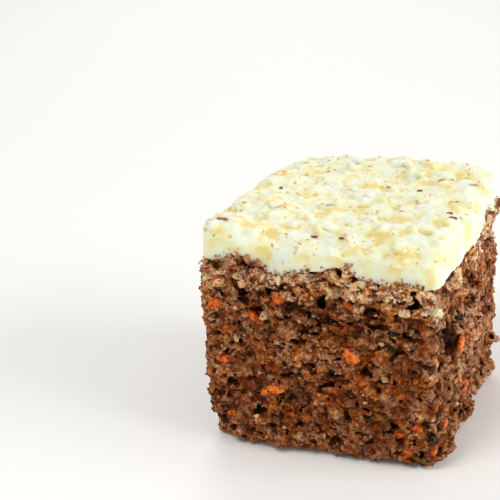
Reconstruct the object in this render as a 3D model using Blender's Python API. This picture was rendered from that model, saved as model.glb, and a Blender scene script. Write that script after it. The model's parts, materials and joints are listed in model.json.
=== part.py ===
"""A square slice of carrot traybake: a craggy crumb block under cream icing strewn with chopped nuts.

Metres, +Z up. The front cut looks along -Y, the base lies on Z = 0, and the origin is under the middle
of the slice.
"""

import math
import random

import bmesh
import bpy
from mathutils import Euler, Matrix, Vector, noise

MM = 0.001
SEED = 41

# The block as it was cut, in millimetres. Its plan is a little out of square.
FRONT_LEFT = Vector((-31.6, -31.4))
FRONT_RIGHT = Vector((29.2, -27.0))
BACK_RIGHT = Vector((29.6, 30.6))
BACK_LEFT = Vector((-29.3, 31.4))
ICING_LINE = 50.6
ICING_TOP = 59.0
GAP = 0.4
SIDE_CELLS = 24
SPONGE_CELLS_UP = 20
ICING_CELLS_UP = 4
CORNER_RADIUS = 1.5
ICING_RIM_RADIUS = 2.8
ICING_STANDS = 0.3

# The flat foot under the crumb: its share of the width, how far the rim round it is lifted, and how far
# its sides bow in between the four corners that carry the slice
FOOT = 10 / 12
FOOT_RISE = 0.4
FOOT_BOW = 0.5

# Where the line between crumb and icing rises and falls: place along the wall, height, half width
FRONT_WAVES = ((-21.5, 2.7, 5.2), (-11.8, -2.8, 3.2), (4.2, 2.2, 3.6), (20.0, -2.0, 11.0))
RIGHT_WAVES = ((-24.0, 1.4, 3.0), (-12.0, -1.2, 6.0), (4.0, -1.6, 9.0), (24.0, -0.8, 8.0))
WAVE_DEPTH = 13.0

# Smooth noise in layers: height, wavelength and offset into the noise
LINE_DRIFT = ((0.9, 17.0, 5.1),)
CRUMB_CRAGS = ((1.0, 15.0, 0.4), (1.2, 7.0, 2.9), (1.3, 4.0, 6.1), (0.7, 2.7, 9.2))
ICING_LUMPS = ((0.6, 21.0, 1.7), (0.9, 8.0, 8.3), (1.0, 4.6, 3.3), (0.9, 3.1, 6.6))
ICING_WALL = ((0.7, 9.0, 4.4), (0.4, 4.5, 7.7))

# The icing sags along the right of the front edge and at the back left corner, and rises at the front
# left corner and along the back
SAG = 2.3
SAG_MIDDLE = 14.0
SAG_ALONG = 24.0
SAG_BACK = 6.0
CURL = 1.6
CURL_REACH = 7.5
BACK_LIFT = 2.4
BACK_LIFT_MIDDLE = 6.0
BACK_LIFT_ALONG = 24.0
BACK_LIFT_REACH = 10.0
BACK_FALL = 2.6
BACK_FALL_REACH = 12.0

# Bulges of the crumb walls: side, place along the wall, height, how far out, half width
BULGES = (
    ("front", -17.0, 3.0, 3.0, 10.0),
    ("front", 4.0, 2.0, 1.6, 16.0),
    ("front", -30.0, 45.0, 1.4, 7.0),
    ("front", -30.0, 3.0, -2.0, 6.0),
    ("right", -10.0, 5.0, 2.4, 16.0),
    ("right", 20.0, 12.0, 1.6, 14.0),
    ("back", 6.0, 14.0, 1.0, 15.0),
    ("left", 28.0, 45.0, 1.1, 6.0),
    ("left", 26.0, 14.0, -0.8, 16.0),
    ("left", 29.0, 3.0, -2.4, 8.0),
    ("left", -8.0, 12.0, 1.2, 14.0),
)

# Air holes that show in the cuts, as the bulges above but inwards
HOLES = (
    ("front", -21.5, 41.5, 1.9, 2.4),
    ("front", -8.0, 41.0, 1.6, 2.8),
    ("front", -1.8, 36.5, 2.0, 3.2),
    ("front", 18.5, 33.5, 2.4, 3.4),
    ("front", 14.0, 30.0, 1.6, 2.6),
    ("front", -16.0, 37.0, 1.3, 2.4),
    ("front", 12.0, 17.0, 1.3, 2.6),
    ("right", -19.5, 41.0, 2.4, 3.2),
    ("right", -21.0, 30.0, 1.4, 2.6),
)
RANDOM_HOLES = {"front": 5, "right": 9, "back": 14, "left": 14}
HOLE_DEPTH = (1.0, 2.2)
HOLE_WIDE = (2.2, 3.4)

# Carrot shreds that show in the cuts: side, place along the wall, height, length, width, tilt
SHREDS = (
    ("front", -13.0, 17.6, 6.6, 2.6, 12.0),
    ("front", 6.6, 27.6, 5.0, 3.8, -35.0),
    ("front", -24.4, 12.8, 3.0, 1.8, 10.0),
    ("front", -12.6, 44.0, 3.6, 2.6, 8.0),
    ("front", -26.6, 36.8, 4.2, 2.6, 20.0),
    ("front", -25.5, 26.0, 4.4, 2.4, -6.0),
    ("front", 3.0, 41.6, 3.0, 2.2, -20.0),
    ("right", -19.0, 29.6, 3.4, 2.6, 70.0),
    ("right", 6.5, 11.5, 4.6, 2.0, 75.0),
    ("right", -12.0, 9.5, 3.6, 1.8, 30.0),
)
RANDOM_SHREDS = {"front": 2, "right": 4, "back": 8, "left": 8}
SHREDS_STAND = 0.7
SHRED_THICK = 2.0
SHRED_LENGTH = (2.6, 6.0)
SHRED_WIDTH = (1.5, 2.8)
SHRED_TAPER = 0.72

CRUMBS = {"front": 12, "right": 11, "back": 10, "left": 10}
CRUMB_RADIUS = (1.3, 2.3)
CRUMB_SUNK = 0.2
CRUMB_STANDS = 0.5

# The crumb is looser under the icing, and its relief dies down at the corners and against the icing
CRUMBLIER = 0.5
CRUMBLY_MIDDLE = 43.0
CRUMBLY_BAND = 8.0
CORNER_CALM = 0.6
RIM_CALM = 0.8
RIM_BAND = 2.5

# Chopped nut on the icing: the pieces that break the outline, as x, y and radius on the square before it is
# warped, then the strewn ones
OUTLINE_NUTS = (
    (-27.4, -28.0, 1.5),
    (9.4, 27.4, 2.0),
    (-13.4, 27.6, 1.7),
    (-27.6, -5.0, 1.8),
    (21.0, 27.0, 1.6),
)
STREWN_NUTS = 62
NUT_RADIUS = (1.3, 2.7)
NUT_SPACING = 1.12
NUT_SUNK = 0.1
NUT_SHAPE = ((0.9, 1.3), (0.7, 1.0), (0.6, 0.8))
NUT_LEAN = 0.4
MOST_TRIES = 20000
RIM_KEPT_CLEAR = 3.0

SIDES = {
    "front": (Vector((0, -1, 0)), Vector((1, 0, 0))),
    "right": (Vector((1, 0, 0)), Vector((0, 1, 0))),
    "back": (Vector((0, 1, 0)), Vector((-1, 0, 0))),
    "left": (Vector((-1, 0, 0)), Vector((0, -1, 0))),
}
HALF_SIDE = 30.0
MARKS_APART = 5.0
MARKS_LOW = 5.0
MARKS_HIGH = 45.0


def bell(distance, half_width):
    """A smooth bump of height 1 at distance 0."""
    return math.exp(-((distance / half_width) ** 2))


def rough(place, layers):
    """Smooth noise added up over layers of height, wavelength and offset."""
    return sum(
        height * noise.noise(place / wavelength + offset * Vector((1, 2, 3)))
        for height, wavelength, offset in layers
    )


def warped(square):
    """A place on a true square of HALF_SIDE, moved to the plan as it was cut."""
    u = (square.x / HALF_SIDE + 1) / 2
    v = (square.y / HALF_SIDE + 1) / 2
    front = FRONT_LEFT.lerp(FRONT_RIGHT, u)
    back = BACK_LEFT.lerp(BACK_RIGHT, u)
    return front.lerp(back, v)


def icing_line(x, y):
    """Height of the boundary between crumb and icing."""
    height = ICING_LINE + rough(Vector((x, y, 0)), LINE_DRIFT)
    front = bell(y - FRONT_LEFT.y, WAVE_DEPTH)
    right = bell(x - FRONT_RIGHT.x, WAVE_DEPTH)
    height += front * sum(rise * bell(x - at, wide) for at, rise, wide in FRONT_WAVES)
    height += right * (1 - front) * sum(rise * bell(y - at, wide) for at, rise, wide in RIGHT_WAVES)
    return height


def icing_top(x, y):
    """Height of the spread surface: level, with shallow lumps, and sagging along the front."""
    level = ICING_TOP + rough(Vector((x, y, 0)), ICING_LUMPS)
    sag = SAG * bell(y - FRONT_RIGHT.y, SAG_BACK) * bell(x - SAG_MIDDLE, SAG_ALONG)
    curl = CURL * bell(y - FRONT_LEFT.y, CURL_REACH) * bell(x - FRONT_LEFT.x, CURL_REACH)
    lift = BACK_LIFT * bell(y - BACK_RIGHT.y, BACK_LIFT_REACH) * bell(x - BACK_LIFT_MIDDLE, BACK_LIFT_ALONG)
    fall = BACK_FALL * bell(y - BACK_LEFT.y, BACK_FALL_REACH) * bell(x - BACK_LEFT.x, BACK_FALL_REACH)
    return level - sag + curl + lift - fall


def rounded(place, half, radius, low, high):
    """A point of a box moved onto its rounded edges, and the way out of the box there."""
    inner = Vector(min(max(c, radius - h), h - radius) for c, h in zip(place, half))
    if not low:
        inner.z = min(place.z, inner.z)
    if not high:
        inner.z = max(place.z, inner.z)
    out = place - inner
    if out.length > radius:
        out = out * (radius / out.length)
    moved = inner + out
    if out.length < 0.5 * radius:
        return moved, Vector((0, 0, 1 if place.z > 0 else -1))
    return moved, out.normalized()


def on_side(place, side):
    """Distance along a wall from its middle, for a point near it."""
    return place.dot(SIDES[side][1])


def marks_on(place, outward, marks):
    """How far the listed bulges or holes move a wall at a place: side, along, height, out, half width."""
    total = 0.0
    for side, along, height, out, wide in marks:
        facing = max(0.0, outward.dot(SIDES[side][0]))
        across = math.hypot(on_side(place, side) - along, place.z - height)
        total += facing * out * bell(across, wide)
    return total


def strewn_marks(draw, counts):
    """Random places on the walls, spread by rejection so that no two lie together."""
    found = []
    for side, count in counts.items():
        taken = []
        while len(taken) < count:
            along = draw.uniform(MARKS_APART - HALF_SIDE, HALF_SIDE - MARKS_APART)
            height = draw.uniform(MARKS_LOW, MARKS_HIGH)
            if all(math.hypot(along - a, height - h) > MARKS_APART for a, h in taken):
                taken.append((along, height))
        found += [(side, along, height) for along, height in taken]
    return found


def crumb_relief(place, outward, holes):
    """How far the torn crumb stands out of the plane of the cut: crags, bulges and air holes."""
    looser = 1 + CRUMBLIER * bell(place.z - CRUMBLY_MIDDLE, CRUMBLY_BAND)
    at_corner = 2 * abs(outward.x * outward.y)
    crags = rough(place, CRUMB_CRAGS) * looser * (1 - CORNER_CALM * at_corner)
    relief = crags + marks_on(place, outward, BULGES) - marks_on(place, outward, holes)
    return CRUMB_STANDS + relief * (1 - RIM_CALM * bell(place.z - ICING_LINE, RIM_BAND))


def grid_box(name, cells_up):
    """A cube primitive divided into a grid on every side, from -1 to 1."""
    bpy.ops.mesh.primitive_cube_add(size=2)
    box = bpy.context.object
    box.name = name
    box.data.name = name
    mesh = bmesh.new()
    mesh.from_mesh(box.data)
    for axis, cells in enumerate((SIDE_CELLS, SIDE_CELLS, cells_up)):
        along = [e for e in mesh.edges if abs((e.verts[0].co - e.verts[1].co)[axis]) > 1]
        bmesh.ops.subdivide_edges(mesh, edges=along, cuts=cells - 1, use_grid_fill=True)
    mesh.to_mesh(box.data)
    mesh.free()
    return box


def sponge_point(unit, holes):
    """A point of the unit box taken to the crumb block, in millimetres, with the way out there."""
    half = Vector((HALF_SIDE, HALF_SIDE, ICING_LINE / 2))
    box = Vector(a * b for a, b in zip(unit, half))
    box, outward = rounded(box, half, CORNER_RADIUS, low=True, high=False)
    plan = warped(box)
    share = box.z / (2 * half.z) + 0.5
    place = Vector((plan.x, plan.y, share * ICING_LINE))
    sideways = Vector((outward.x, outward.y, 0))
    moved = place + sideways * crumb_relief(place, sideways, holes)
    moved.z = share * (icing_line(moved.x, moved.y) - GAP / 2)
    if unit.z <= -1:
        moved += foot_shape(unit.x, unit.y)
    return moved, outward


def foot_shape(x, y):
    """How the underside moves at a place of the unit square: up beyond the foot, and in along its sides."""
    across, along = (x, y) if abs(x) > abs(y) else (y, x)
    beyond = max(0.0, abs(across) - FOOT) / (1 - FOOT)
    at_rim = bell(abs(across) - FOOT, 1 - FOOT)
    bow = -math.copysign(FOOT_BOW * at_rim * (1 - (along / across) ** 2), across) if across else 0.0
    rise = FOOT_RISE * beyond
    return Vector((bow, 0, rise)) if abs(x) > abs(y) else Vector((0, bow, rise))


def icing_point(unit):
    """A point of the unit box taken to the icing layer, in millimetres."""
    thick = ICING_TOP - ICING_LINE
    half = Vector((HALF_SIDE, HALF_SIDE, thick / 2))
    box = Vector(a * b for a, b in zip(unit, half))
    box, outward = rounded(box, half, ICING_RIM_RADIUS, low=False, high=True)
    plan = warped(box)
    share = box.z / thick + 0.5
    place = Vector((plan.x, plan.y, share * thick))
    sideways = Vector((outward.x, outward.y, 0))
    moved = place + sideways * (ICING_STANDS + rough(place, ICING_WALL))
    floor = icing_line(moved.x, moved.y) + GAP / 2
    moved.z = floor + share * (icing_top(moved.x, moved.y) - floor)
    return moved


def shaped(box, point):
    """Moves every vertex of a unit box to where the function puts it."""
    for vertex in box.data.vertices:
        vertex.co = point(vertex.co.copy()) * MM
    return box


def flat_base(box):
    """Joins the level faces under the crumb into one flat face to stand on."""
    mesh = bmesh.new()
    mesh.from_mesh(box.data)
    low = 0.0001 * MM
    under = [f for f in mesh.faces if all(abs(v.co.z) < low for v in f.verts)]
    bmesh.ops.dissolve_faces(mesh, faces=under)
    mesh.to_mesh(box.data)
    mesh.free()


def lump(name, place, scale, turn, draw, collection):
    """A small angular crumb or piece of nut: an icosphere with its corners pushed about."""
    bpy.ops.mesh.primitive_ico_sphere_add(subdivisions=1, radius=1)
    piece = bpy.context.object
    piece.name = name
    for vertex in piece.data.vertices:
        vertex.co *= draw.uniform(0.78, 1.12)
    shape = Matrix.LocRotScale(place * MM, turn, Vector(scale) * MM)
    piece.data.transform(shape)
    keep_in(piece, collection)


def shred(name, place, outward, length, width, tilt, collection):
    """A cut end of grated carrot: a short strip, narrower outside, lying in the wall."""
    bpy.ops.mesh.primitive_cube_add(size=1)
    piece = bpy.context.object
    piece.name = name
    for vertex in piece.data.vertices:
        if vertex.co.z > 0:
            vertex.co.xy *= SHRED_TAPER
    facing = outward.to_track_quat("Z", "Y")
    turn = facing @ Euler((0, 0, math.radians(tilt))).to_quaternion()
    sunk = place + outward * (SHREDS_STAND - SHRED_THICK / 2)
    piece.data.transform(Matrix.LocRotScale(sunk * MM, turn, Vector((length, width, SHRED_THICK)) * MM))
    keep_in(piece, collection)


def keep_in(piece, collection):
    """Moves an object from the scene's own collection to the given one."""
    for other in piece.users_collection:
        other.objects.unlink(piece)
    collection.objects.link(piece)


def keep_outer_skin(body):
    """Fills hollows that fusing sealed and drops loose scraps: only the largest linked skin stays."""
    mesh = bmesh.new()
    mesh.from_mesh(body.data)
    unseen = set(mesh.verts)
    skins = []
    while unseen:
        reached = [unseen.pop()]
        skin = list(reached)
        while reached:
            for edge in reached.pop().link_edges:
                for vertex in edge.verts:
                    if vertex in unseen:
                        unseen.remove(vertex)
                        reached.append(vertex)
                        skin.append(vertex)
        skins.append(skin)
    skins.sort(key=len)
    bmesh.ops.delete(mesh, geom=[v for skin in skins[:-1] for v in skin], context="VERTS")
    mesh.to_mesh(body.data)
    mesh.free()


def joined(body, collection):
    """Fuses all of a collection's pieces to the body, then removes them."""
    union = body.modifiers.new("fused", "BOOLEAN")
    union.operation = "UNION"
    union.operand_type = "COLLECTION"
    union.collection = collection
    union.solver = "MANIFOLD"
    bpy.context.view_layer.objects.active = body
    bpy.ops.object.modifier_apply(modifier=union.name)
    keep_outer_skin(body)
    for piece in list(collection.objects):
        bpy.data.objects.remove(piece)
    bpy.data.collections.remove(collection)


def unit_on(side, along, height):
    """The unit-box point of a place on a wall, with heights in millimetres."""
    outward, sideways = SIDES[side]
    flat = outward + sideways * (along / HALF_SIDE)
    return Vector((flat.x, flat.y, 2 * height / ICING_LINE - 1))


def strew_on_sponge(draw, holes):
    """The shreds and larger crumbs that stand out of the cut walls, as loose pieces ready to fuse."""
    bits = bpy.data.collections.new("crumbs_and_shreds")
    bpy.context.scene.collection.children.link(bits)
    shreds = list(SHREDS)
    for side, along, height in strewn_marks(draw, RANDOM_SHREDS):
        length = draw.uniform(*SHRED_LENGTH)
        width = draw.uniform(*SHRED_WIDTH)
        shreds.append((side, along, height, length, width, draw.uniform(-80, 80)))
    for number, (side, along, height, length, width, tilt) in enumerate(shreds):
        place, _ = sponge_point(unit_on(side, along, height), holes)
        shred(f"shred_{number}", place, SIDES[side][0], length, width, tilt, bits)
    for number, (side, along, height) in enumerate(strewn_marks(draw, CRUMBS)):
        place, _ = sponge_point(unit_on(side, along, height), holes)
        radius = draw.uniform(*CRUMB_RADIUS)
        scale = [radius * draw.uniform(0.8, 1.3) for _ in range(3)]
        turn = Euler([draw.uniform(0, math.tau) for _ in range(3)]).to_quaternion()
        lump(f"crumb_{number}", place - SIDES[side][0] * CRUMB_SUNK * radius, scale, turn, draw, bits)
    return bits


def strew_on_icing(draw):
    """The chopped nut on the icing, each piece half sunk in it."""
    bits = bpy.data.collections.new("chopped_nut")
    bpy.context.scene.collection.children.link(bits)
    nuts = list(OUTLINE_NUTS)
    reach = HALF_SIDE - RIM_KEPT_CLEAR
    tries = 0
    while len(nuts) < STREWN_NUTS + len(OUTLINE_NUTS) and tries < MOST_TRIES:
        tries += 1
        x = draw.uniform(-reach, reach)
        y = draw.uniform(-reach, reach)
        radius = draw.uniform(*NUT_RADIUS)
        if all(math.hypot(x - a, y - b) > NUT_SPACING * (radius + r) for a, b, r in nuts):
            nuts.append((x, y, radius))
    for number, (x, y, radius) in enumerate(nuts):
        place = icing_point(Vector((x / HALF_SIDE, y / HALF_SIDE, 1)))
        scale = [radius * draw.uniform(*share) for share in NUT_SHAPE]
        lean = draw.uniform(-NUT_LEAN, NUT_LEAN)
        turn = Euler((lean, draw.uniform(-NUT_LEAN, NUT_LEAN), draw.uniform(0, math.tau))).to_quaternion()
        lump(f"nut_{number}", place - Vector((0, 0, NUT_SUNK * radius)), scale, turn, draw, bits)
    return bits


def finish(name, colour, roughness):
    """A Principled material."""
    made = bpy.data.materials.new(name)
    made.use_nodes = True
    shader = made.node_tree.nodes["Principled BSDF"]
    shader.inputs["Base Color"].default_value = (*colour, 1)
    shader.inputs["Roughness"].default_value = roughness
    shader.inputs["Metallic"].default_value = 0.0
    return made


def centred(pieces):
    """Moves the pieces together so that the origin is under the middle of their box."""
    corners = [v.co for piece in pieces for v in piece.data.vertices]
    low = Vector(min(c[i] for c in corners) for i in range(3))
    high = Vector(max(c[i] for c in corners) for i in range(3))
    middle = (low + high) / 2
    shift = Matrix.Translation((-middle.x, -middle.y, -low.z))
    for piece in pieces:
        piece.data.transform(shift)


def main():
    for old in list(bpy.data.objects):
        bpy.data.objects.remove(old)
    slice_parts = bpy.data.collections.new("carrot_cake_slice")
    bpy.context.scene.collection.children.link(slice_parts)
    draw = random.Random(SEED)

    holes = list(HOLES)
    for side, along, height in strewn_marks(draw, RANDOM_HOLES):
        holes.append((side, along, height, draw.uniform(*HOLE_DEPTH), draw.uniform(*HOLE_WIDE)))

    sponge = shaped(grid_box("sponge", SPONGE_CELLS_UP), lambda unit: sponge_point(unit, holes)[0])
    flat_base(sponge)
    joined(sponge, strew_on_sponge(draw, holes))
    sponge.data.materials.clear()
    sponge.data.materials.append(finish("carrot_crumb", (0.17, 0.065, 0.025), 0.75))

    icing = shaped(grid_box("icing", ICING_CELLS_UP), icing_point)
    joined(icing, strew_on_icing(draw))
    icing.data.materials.clear()
    icing.data.materials.append(finish("cream_icing", (0.86, 0.83, 0.62), 0.55))

    for piece in (sponge, icing):
        keep_in(piece, slice_parts)
    centred((sponge, icing))


main()
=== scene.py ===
"""The finish of a square slice of carrot traybake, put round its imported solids.

Metres, +Z up. The camera stands where the photograph was taken from.
"""

import json
import math
import random

import bmesh
import bpy
from mathutils import Matrix, Vector, noise

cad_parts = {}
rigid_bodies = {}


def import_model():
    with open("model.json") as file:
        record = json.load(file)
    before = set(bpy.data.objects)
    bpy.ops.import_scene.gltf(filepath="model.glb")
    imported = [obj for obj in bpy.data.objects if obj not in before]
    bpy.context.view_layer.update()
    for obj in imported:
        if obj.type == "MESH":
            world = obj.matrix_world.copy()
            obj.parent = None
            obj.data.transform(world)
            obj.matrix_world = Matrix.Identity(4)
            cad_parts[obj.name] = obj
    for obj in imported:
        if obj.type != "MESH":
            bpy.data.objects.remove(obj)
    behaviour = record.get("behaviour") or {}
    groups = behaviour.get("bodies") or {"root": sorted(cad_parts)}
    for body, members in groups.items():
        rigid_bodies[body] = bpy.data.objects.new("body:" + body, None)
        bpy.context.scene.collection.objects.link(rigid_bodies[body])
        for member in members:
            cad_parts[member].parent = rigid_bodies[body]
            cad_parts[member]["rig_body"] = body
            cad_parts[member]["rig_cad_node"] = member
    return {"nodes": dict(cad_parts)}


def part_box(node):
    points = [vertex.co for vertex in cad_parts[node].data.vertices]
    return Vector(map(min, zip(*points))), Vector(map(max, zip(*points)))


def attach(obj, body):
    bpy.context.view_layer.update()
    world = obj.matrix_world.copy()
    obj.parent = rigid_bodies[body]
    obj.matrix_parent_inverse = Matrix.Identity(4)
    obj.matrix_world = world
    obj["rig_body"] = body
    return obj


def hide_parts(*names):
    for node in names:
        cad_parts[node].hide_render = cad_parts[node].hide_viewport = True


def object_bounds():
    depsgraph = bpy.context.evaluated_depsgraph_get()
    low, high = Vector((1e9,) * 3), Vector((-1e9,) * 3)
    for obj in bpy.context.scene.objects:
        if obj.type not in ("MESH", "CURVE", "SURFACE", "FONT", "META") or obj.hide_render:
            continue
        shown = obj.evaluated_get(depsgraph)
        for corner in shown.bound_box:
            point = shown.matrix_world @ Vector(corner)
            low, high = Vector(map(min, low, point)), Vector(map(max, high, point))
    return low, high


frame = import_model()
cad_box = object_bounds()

# The view: a close look from the front and a little to the right, down on the slice by about a
# quarter of a right angle. The lens is long, so that the cut faces hardly taper. The light is that of
# a white studio: a soft box over the left shoulder, a weak one behind, a large one at the right.
CAMERA_PLACE = Vector((0.09809, -0.28841, 0.180))
CAMERA_TURN = 24.2
CAMERA_DOWN = 23.8
CAMERA_ROLL = -2.0
LENS = 90.8
SENSOR = 36.0


def aimed(turn, down, roll=0.0):
    """A rotation that looks along +Y turned left by turn, tipped down and rolled, all in degrees."""
    level = Matrix.Rotation(math.radians(90 - down), 4, "X")
    return Matrix.Rotation(math.radians(turn), 4, "Z") @ level @ Matrix.Rotation(math.radians(roll), 4, "Z")


lens = bpy.data.cameras.new("camera")
lens.lens = LENS
lens.sensor_width = SENSOR
lens.clip_start = 0.01
camera = bpy.data.objects.new("camera", lens)
camera.matrix_world = Matrix.Translation(CAMERA_PLACE) @ aimed(CAMERA_TURN, CAMERA_DOWN, CAMERA_ROLL)
bpy.context.scene.collection.objects.link(camera)
bpy.context.scene.camera = camera


def soft_box(name, place, target, side, power, colour):
    """A square area light at a place, turned to face a target."""
    lamp = bpy.data.lights.new(name, "AREA")
    lamp.size = side
    lamp.energy = power
    lamp.color = colour
    held = bpy.data.objects.new(name, lamp)
    facing = (Vector(target) - Vector(place)).to_track_quat("-Z", "Y")
    held.matrix_world = Matrix.Translation(place) @ facing.to_matrix().to_4x4()
    bpy.context.scene.collection.objects.link(held)


soft_box("key_light", (-0.25, -0.45, 0.7), (0, 0, 0.03), 0.35, 2.6, (1.0, 0.98, 0.94))
soft_box("back_light", (-0.3, 0.6, 0.5), (0, 0, 0.04), 0.4, 1.4, (1.0, 1.0, 0.98))
soft_box("side_light", (0.8, 0.05, 0.32), (0, 0, 0.03), 0.6, 5.6, (1.0, 0.985, 0.95))

world = bpy.data.worlds.new("studio")
world.use_nodes = True
world.node_tree.nodes["Background"].inputs["Color"].default_value = (1.0, 1.0, 0.98, 1)
world.node_tree.nodes["Background"].inputs["Strength"].default_value = 0.45
bpy.context.scene.world = world
bpy.context.scene.view_settings.view_transform = "Standard"


# The floor: a plain pale table top, only there to carry the slice and its shadow. It is one wide
# sheet, matt white and hardly rough.
FLOOR_SIDE = 4
FLOOR_BELOW = 0.0002


def srgb(red, green, blue):
    """A colour as seen, 0 to 255, made linear."""
    seen = [c / 255 for c in (red, green, blue)]
    return (*(c / 12.92 if c <= 0.04045 else ((c + 0.055) / 1.055) ** 2.4 for c in seen), 1)


def new_material(name):
    """A material with its tree and its shader."""
    made = bpy.data.materials.new(name)
    made.use_nodes = True
    return made, made.node_tree, made.node_tree.nodes["Principled BSDF"]


bpy.ops.object.select_all(action="DESELECT")
bpy.ops.mesh.primitive_plane_add(size=FLOOR_SIDE, location=(0, 0, -FLOOR_BELOW))
floor = bpy.context.object
floor.name = "floor"
matt, tree, shader = new_material("white_table")
shader.inputs["Base Color"].default_value = srgb(252, 252, 251)
shader.inputs["Roughness"].default_value = 0.7
floor.data.materials.append(matt)


# The sponge: a moist brown crumb full of air, cut on all four sides so that lumps of crumb stand out
# and air holes lie open. It is baked in one piece and stands on its tin side. The block keeps its own
# form here, and its skin is broken up into lumps, cracks and holes by a field worked out round it.
MM = 0.001
FIELD_STEP = 0.42
FIELD_MARGIN = 2.0
MOST_TRIANGLES = 196000
BLUR = 14

# Lumps of crumb: size, how deep the cracks go between them, seed. The crumb is looser under the icing
CRUMB_LUMPS = ((5.2, 2.1, 11.0), (2.3, 1.5, 5.0), (1.2, 0.9, 23.0))
CRUMB_RAISE = 1.9
CRUMB_OVER = 1.2
LOOSE_BAND = (40.0, 47.0)

# Air holes: size, seed, between which values of a noise they open, how deep. More of them are in the band
PITS = ((3.6, 31.0, 0.57, 0.67, 3.4), (1.9, 17.0, 0.58, 0.70, 1.8))
BAND_PITS = (4.6, 43.0, 0.50, 0.60, 3.2)
BAND_PIT_HEIGHTS = (38.0, 43.0)

# Folds of the torn right cut: size, seed, middle of the noise, how deep
RIGHT_FOLDS = (6.5, 19.0, 0.56, 8.0)
BAND_PROUD = 0.9
BAND_PROUD_HEIGHTS = (42.0, 48.0)

# How the places are bent that lumps and hollows are worked out from: scale and detail of the noise
HOLLOW_BEND = (0.6, 2.0)
CRUMB_BEND = (0.45, 3.0)
BEND = 4.0
HOLLOW_EDGE = (0.4, 1.2)

# Gaps and holes that show in the two cuts of the photo, and one behind the icing: middle, half widths,
# how deep
HOLLOWS = (
    ((-20.0, -31.5, 42.6), (1.9, 6, 2.2), 4.0),
    ((-19.3, -31.5, 51.2), (2.4, 6, 1.2), 2.2),
    ((0.3, -31.5, 48.6), (3.0, 6, 1.1), 3.0),
    ((-7.5, -31.5, 41.0), (3.4, 6, 2.0), 2.4),
    ((13.4, -31.5, 46.8), (2.0, 6, 1.0), 3.0),
    ((10.9, -31.5, 44.2), (1.6, 6, 1.0), 2.5),
    ((3.0, -31.5, 37.6), (3.6, 6, 1.5), 3.0),
    ((21.0, -31.5, 36.2), (5.0, 6, 1.8), 3.8),
    ((17.3, -31.5, 32.2), (2.6, 6, 1.5), 2.2),
    ((-3.5, -31.5, 25.0), (2.0, 6, 1.0), 2.2),
    ((-15.6, -31.5, 10.9), (2.4, 6, 1.1), 2.4),
    ((31.0, -23.0, 49.6), (7, 3.4, 3.0), 7.0),
    ((22.8, -28.5, 53.4), (4.6, 5.0, 3.4), 5.0),
    ((30.0, -15.5, 34.5), (7, 3.2, 9.0), 3.6),
    ((31.0, -17.0, 51.4), (8, 3.2, 2.2), 6.0),
    ((31.0, -5.0, 49.6), (8, 5.0, 2.4), 6.0),
    ((32.0, -6.0, 46.0), (6, 2.2, 3.0), 2.4),
    ((32.0, 6.0, 38.0), (6, 2.0, 3.2), 2.2),
    ((32.0, 19.0, 44.0), (6, 3.0, 2.4), 2.6),
    ((32.0, 14.0, 24.0), (6, 2.4, 3.2), 2.2),
    ((32.0, -8.0, 21.0), (6, 2.0, 4.0), 2.2),
)

# Places where the crumb is torn open, painted nearly black as painted shade in the holes: middle, half
# widths and how much darker
PAINTED_SHADE_PLACES = (
    ((32.0, -25.6, 49.6), (4.4, 4.4, 3.4), 0.60),
    ((28.0, -16.0, 51.6), (6.0, 4.0, 2.6), 0.55),
    ((28.0, -4.0, 50.0), (6.0, 6.0, 2.8), 0.55),
    ((28.0, -15.0, 34.5), (6.0, 4.0, 10.0), 0.26),
)


def wire(tree, kind, links=None, **settings):
    """Adds a node, sets its options, and links or sets the inputs named."""
    made = tree.nodes.new(kind)
    for option, value in settings.items():
        setattr(made, option, value)
    for socket, value in (links or {}).items():
        if isinstance(value, bpy.types.NodeSocket):
            tree.links.new(value, made.inputs[socket])
        else:
            made.inputs[socket].default_value = value
    return made


def maths(tree, operation, *values):
    """The result of a Math node."""
    return wire(tree, "ShaderNodeMath", dict(enumerate(values)), operation=operation).outputs[0]


def plus(tree, value, *others):
    """A sum."""
    for other in others:
        value = maths(tree, "ADD", value, other)
    return value


def minus(tree, value, other):
    """A difference."""
    return maths(tree, "SUBTRACT", value, other)


def times(tree, value, *others):
    """A product."""
    for other in others:
        value = maths(tree, "MULTIPLY", value, other)
    return value


def vector_maths(tree, operation, *values):
    """The vector that a Vector Math node gives."""
    return wire(tree, "ShaderNodeVectorMath", dict(enumerate(values)), operation=operation).outputs[0]


def along_way(tree, vector, way):
    """How far a vector goes along a direction."""
    made = wire(tree, "ShaderNodeVectorMath", {0: vector, 1: way}, operation="DOT_PRODUCT")
    return made.outputs["Value"]


def coordinates(tree, vector):
    """The three coordinates of a vector."""
    return wire(tree, "ShaderNodeSeparateXYZ", {0: vector}).outputs


def here(tree):
    """The place of each point."""
    return wire(tree, "GeometryNodeInputPosition").outputs[0]


def skin_of(tree, piece):
    """The mesh of another piece."""
    found = wire(tree, "GeometryNodeObjectInfo", {"Object": piece}, transform_space="RELATIVE")
    return found.outputs["Geometry"]


def deselect():
    """Leaves nothing selected, because an operator acts on all that is."""
    bpy.ops.object.select_all(action="DESELECT")


def copy_of(node, name):
    """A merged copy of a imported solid, as a piece of its own."""
    deselect()
    made = frame["nodes"][node].copy()
    made.data = made.data.copy()
    made.name = name
    made.data.name = name
    made.parent = None
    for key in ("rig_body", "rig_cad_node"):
        if key in made:
            del made[key]
    bpy.context.scene.collection.objects.link(made)
    made.select_set(True)
    bpy.context.view_layer.objects.active = made
    bpy.ops.object.mode_set(mode="EDIT")
    bpy.ops.mesh.select_all(action="SELECT")
    bpy.ops.mesh.remove_doubles(threshold=0.00001)
    bpy.ops.object.mode_set(mode="OBJECT")
    return made


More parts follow.
